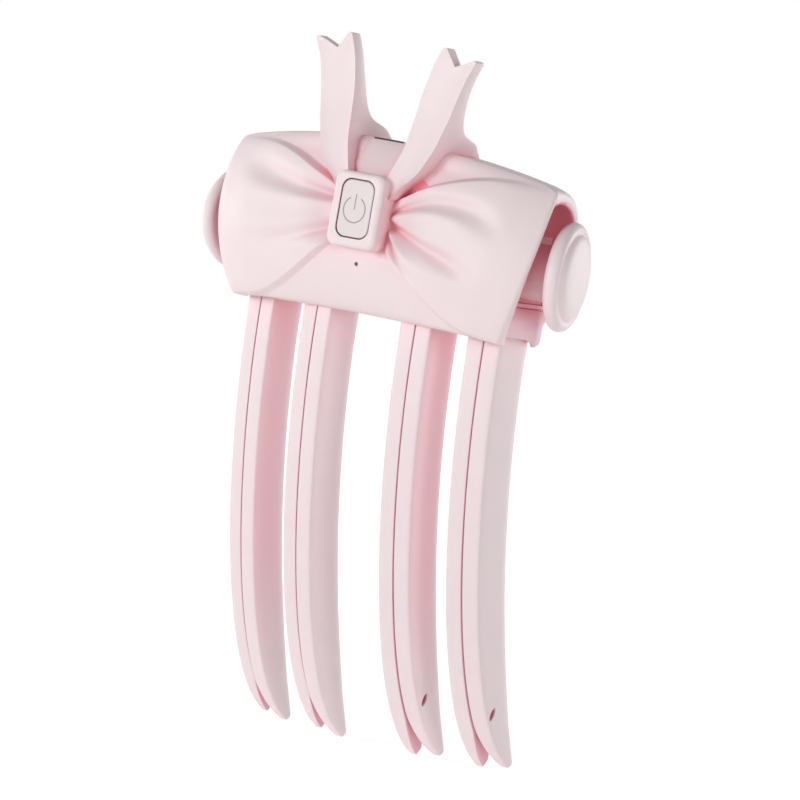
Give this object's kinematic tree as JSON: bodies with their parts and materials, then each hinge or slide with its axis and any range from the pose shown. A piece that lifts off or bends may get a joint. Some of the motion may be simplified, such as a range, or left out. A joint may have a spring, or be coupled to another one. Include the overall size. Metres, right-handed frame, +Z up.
{
  "type": "heated volumizing comb",
  "caption": "Bow-shaped heated hair volumizing comb with curved split teeth, squeeze discs at both ends that open the teeth, and a power button in the bow's knot.",
  "frame": {"origin": "middle of the tooth row, at the front faces of the teeth and the housing's lower edge, where the hair is seated", "axes": "+X to the right seen from the front, +Y to the back, +Z up, towards the ribbon tails"},
  "size_m": [0.101, 0.0513, 0.1622],
  "materials": {
    "shell": "satin pale pink",
    "tooth": "satin pale pink",
    "button": "satin pale pink",
    "inner_plastic": "matt pink",
    "heater": "anodised",
    "steel": "ground",
    "board": "solder mask",
    "black_plastic": "moulded",
    "light": "clear",
    "cell": "shrink sleeve"
  },
  "bodies": {
    "housing": {"front_shell": "shell", "rear_shell": "shell", "left_ribbon_tail": "shell", "right_ribbon_tail": "shell", "base_frame": "inner_plastic", "fixed_tooth_1": "tooth", "fixed_tooth_2": "tooth", "fixed_tooth_3": "tooth", "fixed_tooth_4": "tooth", "heater_strip_1": "heater", "heater_strip_2": "heater", "heater_strip_3": "heater", "heater_strip_4": "heater", "left_return_springs": "steel", "right_return_springs": "steel", "guide_rods": "steel", "tact_switch": "black_plastic", "main_board": "board", "status_led": "light", "light_pipe": "light", "battery_cell": "cell", "battery_tray": "inner_plastic", "tray_screws": "steel", "shell_screws": "steel", "fixed_tooth_screws": "steel", "charge_port": "steel", "port_board": "board", "thermal_fuse": "black_plastic"},
    "left_clamp": {"left_slider": "inner_plastic", "left_push_disc": "shell", "left_disc_screw": "steel", "left_tooth_screws": "steel", "moving_tooth_1": "tooth", "moving_tooth_2": "tooth"},
    "right_clamp": {"right_slider": "inner_plastic", "right_push_disc": "shell", "right_disc_screw": "steel", "right_tooth_screws": "steel", "moving_tooth_3": "tooth", "moving_tooth_4": "tooth"},
    "button": {"power_button": "button", "switch_plunger": "black_plastic"}
  },
  "joints": [
    {"name": "left_clamp_slide", "type": "slide", "parent": "housing", "child": "left_clamp", "axis": [1, 0, 0], "range_m": [0, 0.003], "stiffness_N_per_m": 600, "springref_m": -0.003, "deforming": ["left_return_springs"]},
    {"name": "right_clamp_slide", "type": "slide", "parent": "housing", "child": "right_clamp", "axis": [-1, 0, 0], "range_m": [0, 0.003], "stiffness_N_per_m": 600, "springref_m": -0.003, "deforming": ["right_return_springs"]},
    {"name": "power_button_press", "type": "slide", "parent": "housing", "child": "button", "axis": [0, 1, 0], "range_m": [0, 0.0006], "stiffness_N_per_m": 800, "springref_m": -0.0008}
  ]
}
